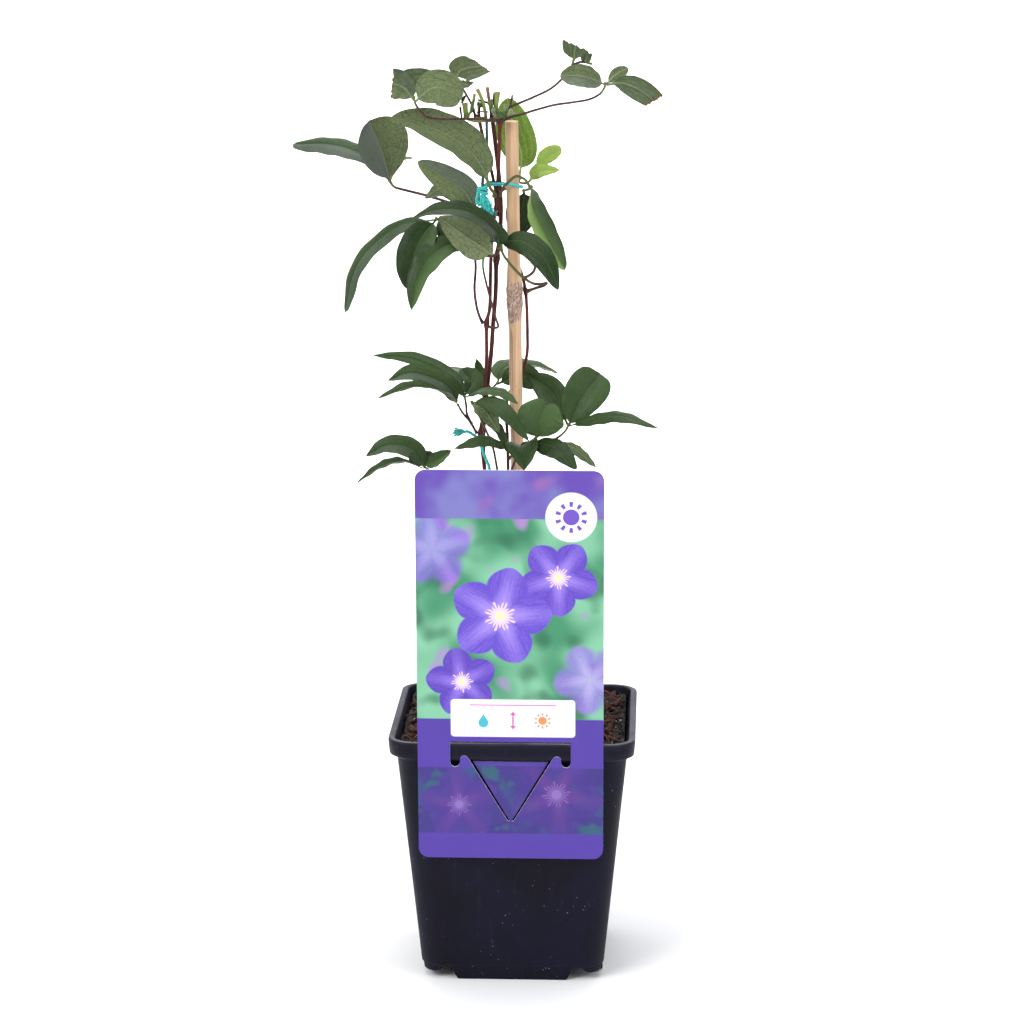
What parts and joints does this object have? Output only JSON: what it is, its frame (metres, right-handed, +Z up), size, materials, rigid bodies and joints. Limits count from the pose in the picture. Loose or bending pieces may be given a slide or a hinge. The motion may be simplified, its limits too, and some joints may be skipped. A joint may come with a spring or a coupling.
{
  "type": "potted clematis",
  "caption": "Young climbing plant tied to a bamboo cane in a square black nursery pot, with a large upright picture label hung on the rim.",
  "frame": {"origin": "on the ground under the middle of the whole plant's box; the pot's middle is 23 mm to +X and 7 mm to +Y of it", "axes": "+Z up along the cane, -Y towards the side that carries the label, +X to the right seen from the label's side"},
  "size_m": [0.199, 0.144, 0.4954],
  "materials": {
    "pot_plastic": "matt black, dusty",
    "soil": "crumbly potting soil with bark fibre and grit",
    "cane": "dry bamboo, sawn top",
    "red_stem": "smooth reddish-brown bark",
    "dark_stem": "dark brown bark",
    "leaf": "living leaf, soft sheen, veined",
    "young_leaf": "young living leaf, soft sheen",
    "string": "turquoise twisted string",
    "card": "printed plastic card"
  },
  "bodies": {
    "root": {"pot": "pot_plastic", "soil": "soil", "cane": "cane", "stem_red": "red_stem", "stem_dark": "dark_stem", "stem_back": "red_stem", "leaf_top_left": "leaf", "leaf_top_tuft": "leaf", "leaf_top_right_upper": "leaf", "leaf_top_right_lower": "leaf", "leaf_young": "young_leaf", "leaf_upper_left": "leaf", "leaf_left_arm": "leaf", "leaf_left_middle": "leaf", "leaf_left_front": "leaf", "leaf_left_arching": "leaf", "leaf_right_front": "leaf", "leaf_right_hanging": "leaf", "leaf_lower_left": "leaf", "leaf_lower_back_left": "leaf", "leaf_lower_back": "leaf", "leaf_lower_right": "leaf", "leaf_centre_round": "leaf", "leaf_centre_long": "leaf", "leaf_low_left": "leaf", "tie_upper": "string", "tie_lower": "string", "label_card": "card"}
  },
  "joints": []
}
